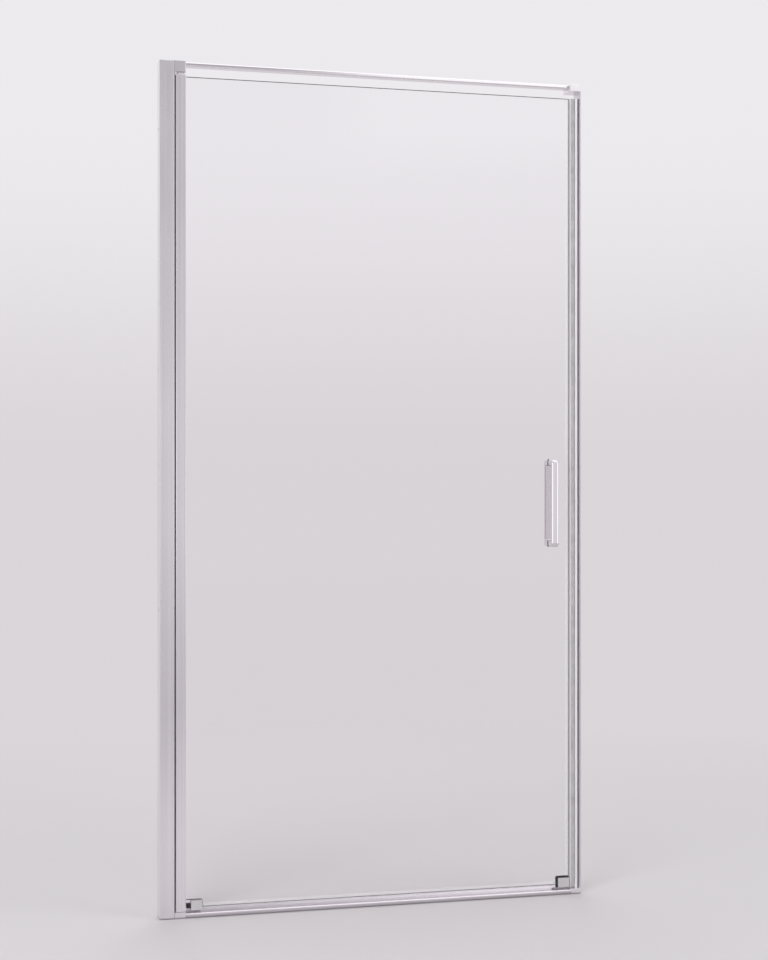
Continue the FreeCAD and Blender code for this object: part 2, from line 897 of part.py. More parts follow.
def handle(side):
    """Bow handle: flat grip, two legs square to the glass, rounded corners and softened long edges.
    side is -1 outside the shower and +1 inside it."""
    foot = side * (glass_half + handle_washer)
    face = side * (glass_half + handle_reach)
    grip = face - side * handle_grip
    low = handle_height - handle_length / 2
    high = handle_height + handle_length / 2
    section = [
        (foot, low),
        (face, low, handle_outer_radius),
        (face, high, handle_outer_radius),
        (foot, high),
        (foot, high - handle_leg),
        (grip, high - handle_leg, handle_inner_radius),
        (grip, low + handle_leg, handle_inner_radius),
        (foot, low + handle_leg),
    ]
    x0 = handle_x - handle_width / 2
    shape = profile(section, x0, x0 + handle_width, "YZ")
    rim = [edge for edge in shape.Edges if on_handle_rim(edge, side)]
    shape = shape.makeChamfer(handle_edge, rim)
    start = foot if side > 0 else foot - stud_depth
    for z in handle_bores():
        shape = shape.cut(rod(stud_radius + press_clearance, handle_x, start, z, stud_depth, "Y"))
    return shape


def on_handle_rim(edge, side):
    """True for the long edges round the outside of the bow, from foot to foot."""
    middle = edge.valueAt((edge.FirstParameter + edge.LastParameter) / 2)
    on_cheek = abs(abs(middle.x - handle_x) - handle_width / 2) < touch
    in_front = glass_half + handle_reach - side * middle.y
    in_length = handle_length / 2 - abs(middle.z - handle_height)
    return on_cheek and min(in_front, in_length) < handle_grip / 2


def inner_handle():
    """The handle inside the shower also has a threaded hole for a grub screw in each leg."""
    shape = handle(1)
    for z in grub_heights():
        shape = shape.cut(rod(grub_radius + thread_clearance, handle_x, grub_y(), z, handle_leg / 2))
    return shape


def grub_y():
    return glass_half + handle_washer + grub_inset


def grub_heights():
    """Lower end of each grub screw, in the underside of its leg."""
    return [z - handle_leg / 2 for z in handle_bores()]


def handle_studs():
    reach = stud_depth - seat_gap
    length = glass_thickness + 2 * (handle_washer + reach)
    return group([rod(stud_radius, handle_x, -length / 2, z, length, "Y") for z in handle_bores()])


def handle_sleeves():
    """Clear sleeves that keep the studs off the glass."""
    solids = []
    for z in handle_bores():
        body = rod(glass_hole_radius - seat_gap, handle_x, -glass_half, z, glass_thickness, "Y")
        solids.append(body.cut(through_glass(stud_radius + seat_gap, z)))
    return group(solids)


def handle_washers():
    """Soft pads of the legs' shape between the handles and both faces of the glass."""
    solids = []
    x0 = handle_x - handle_width / 2 + washer_inset
    x1 = handle_x + handle_width / 2 - washer_inset
    half = handle_leg / 2 - washer_inset
    for z in handle_bores():
        for start in (-glass_half - handle_washer, glass_half):
            pad = box(x0, x1, start, start + handle_washer, z - half, z + half)
            bore = rod(stud_radius + seat_gap, handle_x, start - overcut, z, handle_washer + 2 * overcut, "Y")
            solids.append(pad.cut(bore))
    return group(solids)


def handle_grub_screws():
    length = handle_leg / 2 - stud_radius - thread_clearance
    return group([rod(grub_radius, handle_x, grub_y(), z, length) for z in grub_heights()])


# ---- pins, washer and screws of the frame ----
def top_pivot_pin():
    """Upper pin, pressed into its block and running in the leaf's bush."""
    low = leaf_top - bush_length
    return rod(pin_radius, axis_x, axis_y, low, top_block_floor + pin_seat - low)


def bottom_pivot_pin():
    low = bottom_block_height - pin_in_block
    return rod(pin_radius, axis_x, axis_y, low, leaf_bottom + bush_length - low)


def thrust_washer():
    """Washer between the lower bush and the block, sunk for most of its thickness in the block."""
    body = rod(port_radius + washer_rim, axis_x, axis_y, washer_floor, washer_thickness)
    bore = rod(pin_radius + seat_gap, axis_x, axis_y, washer_floor - overcut, washer_thickness + 2 * overcut)
    return body.cut(bore)


def clamp_screws():
    """Screws from inside the shower that lock the post on its wall channel."""
    forward = FreeCAD.Vector(0, -1, 0)
    return group([
        hex_screw(clamp_radius, clamp_length, clamp_head_radius, clamp_head,
                  FreeCAD.Vector(clamp_x, back, z), forward)
        for z in clamp_heights
    ])


def clamp_screw_caps():
    """Snap-on covers over the heads of the clamp screws."""
    inner = clamp_head_radius + seat_gap
    depth = clamp_head + seat_gap
    body = rod(inner + clamp_cap_wall, 0, 0, 0, depth + clamp_cap_wall)
    body = body.cut(profile(hexagon(inner), -overcut, depth))
    line = FreeCAD.Vector(0, 1, 0)
    return group([lay(body.copy(), FreeCAD.Vector(clamp_x, back, z), line) for z in clamp_heights])


def pivot_block_screws():
    """Screws from inside the post into both pivot blocks."""
    return group([
        hex_screw(block_screw_radius, block_screw_length - seat_gap,
                  block_screw_head_radius, block_screw_head,
                  FreeCAD.Vector(block_screw_start, block_screw_y, z), FreeCAD.Vector(1, 0, 0))
        for z in (top_screw_z, bottom_screw_z)
    ])


os.makedirs("parts", exist_ok=True)

save("hinge_wall_channel", hinge_wall_channel())
save("hinge_frame_post", hinge_frame_post())
save("hinge_post_cap", hinge_post_cap())
save("hinge_fin_seal", hinge_fin_seal())
save("top_pivot_block", top_pivot_block())
save("bottom_pivot_block", bottom_pivot_block())
save("top_pivot_pin", top_pivot_pin())
save("bottom_pivot_pin", bottom_pivot_pin())
save("thrust_washer", thrust_washer())
save("top_rail", top_rail())
save("threshold", threshold())
save("top_strike_bracket", top_strike_bracket())
save("bottom_strike_block", bottom_strike_block())
save("strike_jamb", strike_jamb())
save("strike_magnet_strip", strike_magnet_strip())
save("clamp_screws", clamp_screws())
save("clamp_screw_caps", clamp_screw_caps())
save("pivot_block_screws", pivot_block_screws())

save("hinge_stile", hinge_stile())
save("stile_top_cap", stile_cap(leaf_top, -1))
save("stile_bottom_cap", stile_cap(leaf_bottom, 1))
save("stile_cap_screws", stile_cap_screws())
save("top_pivot_bush", bush(leaf_top, -1))
save("bottom_pivot_bush", bush(leaf_bottom, 1))
save("glass_panel", glass_panel())
save("glazing_gasket", glazing_gasket())
save("door_magnet_seal", door_magnet_seal())
save("door_magnet_strip", door_magnet_strip())
save("drip_seal", drip_seal())
save("hinge_corner_block", hinge_corner_block())
save("strike_corner_block", strike_corner_block())
save("hinge_corner_rubber", hinge_corner_rubber())
save("hinge_corner_plug", hinge_corner_plug())
save("strike_corner_rubber", strike_corner_rubber())
save("outer_handle", handle(-1))
save("inner_handle", inner_handle())
save("handle_studs", handle_studs())
save("handle_sleeves", handle_sleeves())
save("handle_washers", handle_washers())
save("handle_grub_screws", handle_grub_screws())
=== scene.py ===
import json
import math

import bpy
from mathutils import Matrix, Vector

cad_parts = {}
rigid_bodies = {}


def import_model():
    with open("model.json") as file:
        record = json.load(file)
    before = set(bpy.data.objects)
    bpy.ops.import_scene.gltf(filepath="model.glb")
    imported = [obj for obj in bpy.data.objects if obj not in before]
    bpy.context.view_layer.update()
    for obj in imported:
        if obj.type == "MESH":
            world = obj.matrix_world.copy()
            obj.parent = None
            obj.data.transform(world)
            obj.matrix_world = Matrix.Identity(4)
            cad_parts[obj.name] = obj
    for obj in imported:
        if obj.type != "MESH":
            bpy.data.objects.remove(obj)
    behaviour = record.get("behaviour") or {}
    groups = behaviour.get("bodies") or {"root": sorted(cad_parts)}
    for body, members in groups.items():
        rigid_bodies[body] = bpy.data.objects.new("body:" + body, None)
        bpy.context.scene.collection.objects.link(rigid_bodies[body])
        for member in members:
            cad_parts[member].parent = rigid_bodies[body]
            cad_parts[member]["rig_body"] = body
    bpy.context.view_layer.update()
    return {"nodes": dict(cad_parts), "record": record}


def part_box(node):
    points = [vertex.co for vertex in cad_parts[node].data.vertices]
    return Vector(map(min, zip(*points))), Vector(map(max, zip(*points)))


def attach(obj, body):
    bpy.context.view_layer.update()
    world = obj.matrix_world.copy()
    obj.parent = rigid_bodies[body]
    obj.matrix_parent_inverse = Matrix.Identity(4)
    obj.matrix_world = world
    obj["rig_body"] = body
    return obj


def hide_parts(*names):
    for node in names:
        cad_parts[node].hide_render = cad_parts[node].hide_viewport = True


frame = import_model()
nodes = frame["nodes"]

QUARTER_TURN = math.radians(90)

# ---- the photograph's view, in metres and degrees; lens and sensor in millimetres ----
CAMERA_PLACE = (-0.9908, -3.8846, 0.9716)
CAMERA_YAW = 14.619
CAMERA_LENS = 65.627
SENSOR = 36.0
CAMERA_REACH = 60

# ---- light; a pair is the start and end of a step along a direction's X, Y or Z ----
SKY_LIGHT = 0.62
BACKDROP_HORIZON = (0.700, 0.670, 0.695, 1)
BACKDROP_UPPER = (0.850, 0.825, 0.860, 1)
BACKDROP_RISE = (0.0, 0.20)

# ---- what metal and glass reflect ----
ROOM_HORIZON = (0.820, 0.794, 0.828, 1)
ROOM_UPPER = (0.430, 0.414, 0.435, 1)
ROOM_FLOOR = (0.480, 0.462, 0.482, 1)
CEILING = (1.32, 1.29, 1.33, 1)
ROOM_RISE = (0.0, 0.19)
ROOM_TO_BACKDROP = (-0.35, 0.35)
CEILING_RISE = (0.35, 0.80)
HIGH_CARD_GLOW = 0.92
HIGH_CARD_BOTTOM = (0.165, 0.200)
HIGH_CARD_TOP = (0.60, 0.45)
HIGH_CARD_LEFT = (0.195, 0.255)
HIGH_CARD_FRONT = (-0.30, -0.70)
SIDE_GLOW = 0.96
FRONT_GLOW = 1.90
CARD_FADE = 0.28

# ---- ground ----
FLOOR_COLOUR = (0.640, 0.615, 0.635, 1)
FLOOR_HALF = 30.0
FLOOR_DROP = 0.0002
FLOOR_FADE_START = 0.9
FLOOR_FADE_END = 3.0
ROOM_DEPTH = 16.0
ROOM_FLOOR_STOPS = (0.68, 0.86)

# ---- fine lines and bands of an extrusion, per metre ----
LINES_ACROSS, LINES_ALONG = 520.0, 1.1
BANDS_ACROSS, BANDS_ALONG = 150.0, 0.5

# ---- where painted shade and painted highlights change along a piece, in metres, and their tone there ----
FOOT_START = 0.0005
FOOT_END = 0.0045
FOOT_SHADE_TONE = 0.50
TOE_TOP = 0.0055
RIDGE_START = 0.0095
GROOVE_MIDDLE = -0.004
GROOVE_HALF = 0.011
GROOVE_LIP = 0.018
ABOVE_LEAF = (1.866, 1.872)
ABOVE_LEAF_TONE = 0.85
WEB_START = 0.4736
WEB_END = 0.4756


# ---------------------------------------------------------------- materials
class NodeTree:
    """Short calls that add and join nodes."""

    def node(self, kind, **values):
        made = self.tree.nodes.new(kind)
        for key, value in values.items():
            setattr(made, key, value)
        return made

    def join(self, source, target):
        self.tree.links.new(source, target)

    def calculate(self, operation, first, second=None):
        """One sum on a socket and, where it needs one, a second socket or number."""
        made = self.node("ShaderNodeMath", operation=operation)
        self.join(first, made.inputs[0])
        if isinstance(second, float):
            made.inputs[1].default_value = second
        elif second is not None:
            self.join(second, made.inputs[1])
        return made.outputs["Value"]

    def product(self, first, *others):
        for other in others:
            first = self.calculate("MULTIPLY", first, other)
        return first

    def split(self, kind):
        """One kind of coordinate as its three values X, Y and Z."""
        coordinates = self.node("ShaderNodeTexCoord")
        parts = self.node("ShaderNodeSeparateXYZ")
        self.join(coordinates.outputs[kind], parts.inputs["Vector"])
        return parts.outputs

    def blend(self, factor, first, second):
        """Mixes two colours, each given as a value or as a socket."""
        made = self.node("ShaderNodeMix", data_type="RGBA")
        self.join(factor, made.inputs["Factor"])
        for value, socket in ((first, made.inputs[6]), (second, made.inputs[7])):
            if isinstance(value, tuple):
                socket.default_value = value
            else:
                self.join(value, socket)
        return made.outputs[2]

    def blend_shaders(self, factor, first, second):
        made = self.node("ShaderNodeMixShader")
        self.join(factor, made.inputs["Fac"])
        self.join(first, made.inputs[1])
        self.join(second, made.inputs[2])
        return made.outputs["Shader"]

    def seen(self):
        """A value of 1 for what the camera sees directly, in a reflection or through glass."""
        path = self.node("ShaderNodeLightPath").outputs
        seen = self.calculate("MAXIMUM", path["Is Camera Ray"], path["Is Glossy Ray"])
        return self.calculate("MAXIMUM", seen, path["Is Transmission Ray"])

    def mirrored(self):
        """A value of 1 for what shows in a reflection only."""
        return self.node("ShaderNodeLightPath").outputs["Is Reflection Ray"]


class Finish(NodeTree):
    """A node material under construction."""

    def __init__(self, name):
        self.material = bpy.data.materials.new(name)
        self.material.use_nodes = True
        self.tree = self.material.node_tree
        self.bsdf = self.tree.nodes["Principled BSDF"]
        self.output = self.tree.nodes["Material Output"]

    def set(self, **values):
        for key, value in values.items():
            self.bsdf.inputs[key.replace("_", " ")].default_value = value
        return self

    def place(self, scale):
        """Object coordinates, stretched by a scale."""
        coordinates = self.node("ShaderNodeTexCoord")
        mapping = self.node("ShaderNodeMapping")
        mapping.inputs["Scale"].default_value = scale
        self.join(coordinates.outputs["Object"], mapping.inputs["Vector"])
        return mapping.outputs["Vector"]

    def noise(self, scale, detail, roughness=0.5):
        made = self.node("ShaderNodeTexNoise")
        made.inputs["Scale"].default_value = 1.0
        made.inputs["Detail"].default_value = detail
        made.inputs["Roughness"].default_value = roughness
        self.join(self.place(scale), made.inputs["Vector"])
        return made.outputs["Fac"]

    def drawn(self, along, across_scale, along_scale, **values):
        """Noise that is drawn out along one axis: 0, 1 or 2 for X, Y or Z."""
        scale = [across_scale] * 3
        scale[along] = along_scale
        return self.noise(tuple(scale), **values)

    def die_lines(self, along):
        return self.drawn(along, LINES_ACROSS, LINES_ALONG, detail=5.0, roughness=0.65)

    def ramp(self, source, low, high, start=0.3, end=0.7):
        """Maps the part of a pattern between start and end onto a range of values."""
        made = self.node("ShaderNodeMapRange")
        made.inputs["From Min"].default_value = start
        made.inputs["From Max"].default_value = end
        made.inputs["To Min"].default_value = low
        made.inputs["To Max"].default_value = high
        self.join(source, made.inputs["Value"])
        return made.outputs["Result"]

    def tones(self, source, dark, light, start=0.3, end=0.7):
        """Maps the part of a pattern between start and end onto a range of colours."""
        made = self.node("ShaderNodeValToRGB")
        made.color_ramp.elements[0].position = start
        made.color_ramp.elements[0].color = dark
        made.color_ramp.elements[1].position = end
        made.color_ramp.elements[1].color = light
        self.join(source, made.inputs["Fac"])
        return made.outputs["Color"]

    def bump(self, source, strength, depth):
        made = self.node("ShaderNodeBump")
        made.inputs["Strength"].default_value = strength
        made.inputs["Distance"].default_value = depth
        self.join(source, made.inputs["Height"])
        self.join(made.outputs["Normal"], self.bsdf.inputs["Normal"])

    def multiplied(self, tone, shade):
        made = self.node("ShaderNodeMix", data_type="RGBA", blend_type="MULTIPLY")
        made.inputs["Factor"].default_value = 1.0
        self.join(tone, made.inputs[6])
        self.join(shade, made.inputs[7])
        return made.outputs[2]

    def add_painted_foot_shade(self, tone):
        """The tone, darker on the last few millimetres above the floor: painted shade for the
        shadow line where the piece meets the floor.
        """
        height = self.ramp(self.split("Object")["Z"], 0.0, 1.0, FOOT_START, FOOT_END)
        foot_shade = self.tones(height, grey(FOOT_SHADE_TONE), (1, 1, 1, 1), 0.0, 1.0)
        return self.multiplied(tone, foot_shade)

    def colour(self, source):
        self.join(source, self.bsdf.inputs["Base Color"])

    def rough(self, source):
        self.join(source, self.bsdf.inputs["Roughness"])

    def surface(self, shader):
        self.join(shader, self.output.inputs["Surface"])


def grey(value):
    """Grey with the faint rose tint that the metal and the plastic both show."""
    return (value, value * 0.972, value * 1.004, 1)


def drawn_aluminium(name, tone, roughness, along):
    """Anodised extrusion with fine die lines and broader bands along its length."""
    made = Finish(name).set(Metallic=1.0)
    lines = made.die_lines(along)
    bands = made.drawn(along, BANDS_ACROSS, BANDS_ALONG, detail=2.0)
    cloud = made.noise((14, 14, 5), detail=2.0)
    streaks = made.calculate("ADD", made.ramp(lines, 0.0, 0.5), made.ramp(bands, 0.0, 0.5))
    tones = made.tones(streaks, grey(tone * 0.90), grey(tone), 0.2, 0.8)
    # painted shade: darker along the foot, where the piece meets the floor
    made.colour(made.add_painted_foot_shade(tones))
    made.rough(made.ramp(cloud, roughness * 0.88, roughness * 1.12))
    made.bump(lines, 0.06, 0.0001)
    return made.material


def shaded_groove(name, light, dark):
    """Anodised wall profile with painted light and shade: lighter along its front and rear edges
    and above the leaf, and painted shade inside its groove below the leaf's top."""
    made = Finish(name).set(Metallic=1.0)
    lines = made.die_lines(2)
    place = made.split("Object")
    # painted shade inside the groove, painted light along its edges and above the leaf
    depth = made.calculate("SUBTRACT", place["Y"], GROOVE_MIDDLE)
    off_middle = made.calculate("ABSOLUTE", depth)
    lip = made.ramp(off_middle, 0.0, 1.0, GROOVE_HALF, GROOVE_LIP)
    above_leaf = made.ramp(place["Z"], 0.0, ABOVE_LEAF_TONE, *ABOVE_LEAF)
    edge = made.calculate("MAXIMUM", lip, above_leaf)
    tone = made.tones(edge, grey(dark), grey(light), 0.0, 1.0)
    streak = made.tones(lines, grey(0.88), grey(1.0))
    made.colour(made.multiplied(tone, streak))
    made.rough(made.ramp(lines, 0.24, 0.32))
    made.bump(lines, 0.06, 0.0001)
    return made.material


def sill_metal(name, toe, ridge):
    """Anodised sill: drawn lines along it, painted shade on the toe near the floor and a painted
    highlight on the ridge.
    """
    made = Finish(name).set(Metallic=1.0)
    lines = made.die_lines(0)
    # painted shade on the toe below TOE_TOP and a painted highlight on the ridge from RIDGE_START
    # up
    height = made.ramp(made.split("Object")["Z"], 0.0, 1.0, TOE_TOP, RIDGE_START)
    tone = made.tones(height, grey(toe), grey(ridge), 0.0, 1.0)
    streak = made.tones(lines, grey(0.93), (1, 1, 1, 1))
    # painted shade along the foot as well
    made.colour(made.add_painted_foot_shade(made.multiplied(tone, streak)))
    made.rough(made.ramp(lines, 0.16, 0.24))
    made.bump(lines, 0.05, 0.0001)
    return made.material


def cast_metal(name, tone, roughness):
    """Silver-painted die casting with a very fine grain."""
    made = Finish(name).set(Metallic=1.0)
    grain = made.noise((900, 900, 900), detail=2.0)
    cloud = made.noise((40, 40, 40), detail=3.0)
    # painted shade: darker along the foot, where the block meets the floor
    made.colour(made.add_painted_foot_shade(made.tones(cloud, grey(tone * 0.96), grey(tone))))
    made.rough(made.ramp(grain, roughness * 0.85, roughness * 1.15))
    made.bump(grain, 0.06, 0.00008)
    return made.material


def bright_chrome(name, tone):
    """Polished chrome with a faint unevenness in its shine."""
    made = Finish(name).set(Metallic=1.0)
    smear = made.noise((60, 60, 25), detail=4.0)
    made.colour(made.tones(smear, grey(tone * 0.985), grey(tone)))
    made.rough(made.ramp(smear, 0.045, 0.10))
    return made.material


def turned_steel(name, tone):
    """Plain steel with fine turning marks round it."""
    made = Finish(name).set(Metallic=1.0)
    rings = made.noise((700, 700, 2600), detail=3.0)
    made.colour(made.tones(rings, grey(tone * 0.9), grey(tone)))
    made.rough(made.ramp(rings, 0.22, 0.38))
    made.bump(rings, 0.1, 0.00006)
    return made.material


def moulded_plastic(name, dark, light, roughness, grain=900.0):
    """Moulded plastic with a fine spark-eroded grain."""
    made = Finish(name).set(Specular_IOR_Level=0.45)
    texture = made.noise((grain, grain, grain), detail=2.0)
    cloud = made.noise((35, 35, 35), detail=3.0)
    made.colour(made.tones(cloud, dark, light))
    made.rough(made.ramp(texture, roughness * 0.85, roughness * 1.15))
    made.bump(texture, 0.12, 0.00012)
    return made.material


def clear_plastic(name, tint, roughness, body):
    """Flexible clear extrusion: hardly seen but for its gloss and faint drawn lines."""
    made = Finish(name).set(IOR=1.45, Alpha=body)
    lines = made.noise((500, 500, 3), detail=4.0)
    made.colour(made.tones(lines, tuple(c * 0.92 for c in tint[:3]) + (1,), tint))
    made.rough(made.ramp(lines, roughness * 0.8, roughness * 1.2))
    made.bump(lines, 0.08, 0.0001)
    return made.material


def web_with_painted_highlight(name, start, end):
    """Clear seal whose web between the glass edge and the magnet chamber is whiter and less
    clear: a painted highlight along the web.
    """
    made = Finish(name).set(IOR=1.45, Base_Color=(0.90, 0.89, 0.90, 1))
    lines = made.noise((500, 500, 3), detail=4.0)
    made.rough(made.ramp(lines, 0.16, 0.24))
    across = made.calculate("SUBTRACT", made.split("Object")["X"], (start + end) / 2)
    off_middle = made.calculate("ABSOLUTE", across)
    half = (end - start) / 2
    # painted highlight: the web band is whiter and more opaque than the rest of the seal
    body = made.ramp(off_middle, 0.60, 0.11, half * 0.8, half * 1.2)
    made.join(body, made.bsdf.inputs["Alpha"])
    return made.material


def safety_glass(name):
    """Clear glass with polished faces and matt ground edges, coloured near-black as painted shade
    for the light lost inside the glass at its edges. Lamps shine through its faces.
    """
    made = Finish(name).set(Base_Color=(0.972, 0.966, 0.972, 1), IOR=1.46)
    made.set(Transmission_Weight=1.0)
    ripple = made.noise((3, 3, 2), detail=1.0)
    made.rough(made.ramp(ripple, 0.0, 0.004))
    edge = made.node("ShaderNodeBsdfPrincipled")
    # painted shade: the ground edges are coloured near-black
    edge.inputs["Base Color"].default_value = (0.105, 0.10, 0.105, 1)
    edge.inputs["IOR"].default_value = 1.46
    grind = made.noise((1500, 1500, 1500), detail=2.0)
    made.join(made.ramp(grind, 0.35, 0.6), edge.inputs["Roughness"])
    facing = made.calculate("ABSOLUTE", made.split("Normal")["Y"])
    on_face = made.ramp(facing, 0.0, 1.0, 0.90, 0.95)
    body = made.blend_shaders(on_face, edge.outputs["BSDF"], made.bsdf.outputs["BSDF"])
    clear = made.node("ShaderNodeBsdfTransparent")
    clear.inputs["Color"].default_value = (0.92, 0.915, 0.92, 1)
    lamp_ray = made.node("ShaderNodeLightPath").outputs["Is Shadow Ray"]
    made.surface(made.blend_shaders(lamp_ray, body, clear.outputs["BSDF"]))
    return made.material


def make_finishes():
    return {
        "satin_aluminium": drawn_aluminium("satin_aluminium", 0.92, 0.25, 2),
        "polished_aluminium": drawn_aluminium("polished_aluminium", 0.94, 0.10, 0),
        "cast_block": cast_metal("cast_block", 0.92, 0.20),
        "grey_plastic": moulded_plastic("grey_plastic", grey(0.48), grey(0.52), 0.42),
        "black_rubber": moulded_plastic("black_rubber", grey(0.018), grey(0.03), 0.62, 600.0),
        "white_seal": moulded_plastic("white_seal", grey(0.95), grey(0.98), 0.30),
        "clear_seal": clear_plastic("clear_seal", (0.88, 0.87, 0.88, 1), 0.20, 0.12),
        "bearing_plastic": moulded_plastic("bearing_plastic", grey(0.02), grey(0.035), 0.4),
        "pin_steel": turned_steel("pin_steel", 0.60),
        "clear_glass": safety_glass("clear_glass"),
        "chrome": bright_chrome("chrome", 0.80),
        # jamb: painted light (0.85) on its edges and painted shade (0.46) in its groove
        "jamb_aluminium": shaded_groove("jamb_aluminium", 0.85, 0.46),
        # sill: painted shade on the toe (0.66) and a painted highlight on the ridge (0.95)
        "sill_aluminium": sill_metal("sill_aluminium", 0.66, 0.95),
        "magnet_core": moulded_plastic("magnet_core", grey(0.36), grey(0.50), 0.5, 260.0),
        # seal: a painted highlight along its web
        "seal_with_web": web_with_painted_highlight("seal_with_web", WEB_START, WEB_END),
        "drip_clear": clear_plastic("drip_clear", (0.93, 0.92, 0.93, 1), 0.16, 0.08),
        "pale_rubber": moulded_plastic("pale_rubber", grey(0.28), grey(0.34), 0.5, 600.0),
    }


finishes = make_finishes()
slot_of = {entry["node"]: entry["material_slot"] for entry in frame["record"]["subparts"]}

OWN_FINISH = {
    "strike_jamb": "jamb_aluminium",
    "threshold": "sill_aluminium",
    "door_magnet_strip": "magnet_core",
    "door_magnet_seal": "seal_with_web",
    "drip_seal": "drip_clear",
    "hinge_corner_rubber": "pale_rubber",
}


def finish_of(name):
    return finishes[OWN_FINISH.get(name, slot_of[name])]


def dress_nodes():
    """Gives each node of the frame the finish that its slot or its own look names."""
    for name, node in nodes.items():
        node.data.materials.clear()
        node.data.materials.append(finish_of(name))


# ---------------------------------------------------------------- modelling calls
SMOOTH_ANGLE = 35
FLAT_ANGLE = 0.5
SLACK = 1e-5


def start_clear():
    if bpy.context.object is not None and bpy.context.object.mode != "OBJECT":
        bpy.ops.object.mode_set(mode="OBJECT")
    bpy.ops.object.select_all(action="DESELECT")


def add_block(name, low, high):
    """A block between two corners, active and selected."""
    start_clear()
    middle = (Vector(low) + Vector(high)) / 2
    bpy.ops.mesh.primitive_cube_add(size=1, location=middle)
    piece = bpy.context.object
    piece.name = name
    piece.scale = Vector(high) - Vector(low)
    bpy.ops.object.transform_apply(location=True, rotation=True, scale=True)
    return piece


def pick(piece, kind, test):
    """In edit mode, selects the faces whose middle and normal pass a test, or the edges whose
    middle and direction do."""
    bpy.ops.object.mode_set(mode="EDIT")
    bpy.ops.mesh.select_mode(type=kind)
    bpy.ops.mesh.select_all(action="DESELECT")
    bpy.ops.object.mode_set(mode="OBJECT")
    mesh = piece.data
    if kind == "FACE":
        for face in mesh.polygons:
            face.select = test(face.center, face.normal)
    else:
        for edge in mesh.edges:
            ends = [mesh.vertices[i].co for i in edge.vertices]
            edge.select = test((ends[0] + ends[1]) / 2, ends[1] - ends[0])
    bpy.ops.object.mode_set(mode="EDIT")


def leave_edit():
    bpy.ops.object.mode_set(mode="OBJECT")


def near(a, b):
    return abs(a - b) < SLACK


def finish_piece(piece, body, slot, *stands_for):
    """Shades a piece, gives it its finish and lets it ride on its body."""
    bpy.ops.object.shade_smooth_by_angle(angle=math.radians(SMOOTH_ANGLE))
    even = piece.modifiers.new("flat_faces_stay_flat", "WEIGHTED_NORMAL")
    even.keep_sharp = True
    bpy.ops.object.modifier_apply(modifier=even.name)
    piece.data.materials.clear()
    piece.data.materials.append(finishes[slot])
    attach(piece, body)
    if stands_for:
        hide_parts(*stands_for)


def bisect(point, normal):
    """In edit mode, cuts every face along a plane."""
    bpy.ops.mesh.select_all(action="SELECT")
    bpy.ops.mesh.bisect(plane_co=point, plane_no=normal)


def join_flat_faces():
    """In edit mode, makes one face of those that lie in one plane."""
    bpy.ops.mesh.select_all(action="SELECT")
    bpy.ops.mesh.dissolve_limited(angle_limit=math.radians(FLAT_ANGLE))


def cut_with(piece, tool):
    """Cuts a tool shape out of a piece and removes the tool."""
    cut = piece.modifiers.new("cut", "BOOLEAN")
    cut.operation = "DIFFERENCE"
    cut.object = tool
    cut.solver = "EXACT"
    start_clear()
    piece.select_set(True)
    bpy.context.view_layer.objects.active = piece
    bpy.ops.object.modifier_apply(modifier=cut.name)
    bpy.data.objects.remove(tool)


def add_rod(name, middle, radius, length, sides=32, lying=False):
    """A rod about its middle, upright or lying along Y, active and selected."""
    start_clear()
    turn = (QUARTER_TURN if lying else 0, 0, 0)
    bpy.ops.mesh.primitive_cylinder_add(
        vertices=sides, radius=radius, depth=length, location=middle, rotation=turn
    )
    piece = bpy.context.object
    piece.name = name
    bpy.ops.object.transform_apply(location=True, rotation=True, scale=True)
    return piece


def placed_copy(piece, name, shift):
    """A copy with its own mesh, which holds its new place."""
    mesh = piece.data.copy()
    mesh.transform(Matrix.Translation(shift))
    copy = bpy.data.objects.new(name, mesh)
    bpy.context.scene.collection.objects.link(copy)
    return copy


def make_active(piece):
    start_clear()
    piece.select_set(True)
    bpy.context.view_layer.objects.active = piece


# ---------------------------------------------------------------- handles
HANDLE_GRIP = 0.008
HANDLE_LEG = 0.014
HANDLE_OUTER_CORNER = 0.009
HANDLE_INNER_CORNER = 0.004
HANDLE_LONG_EDGE = 0.0045
HANDLE_INNER_EDGE = 0.0007


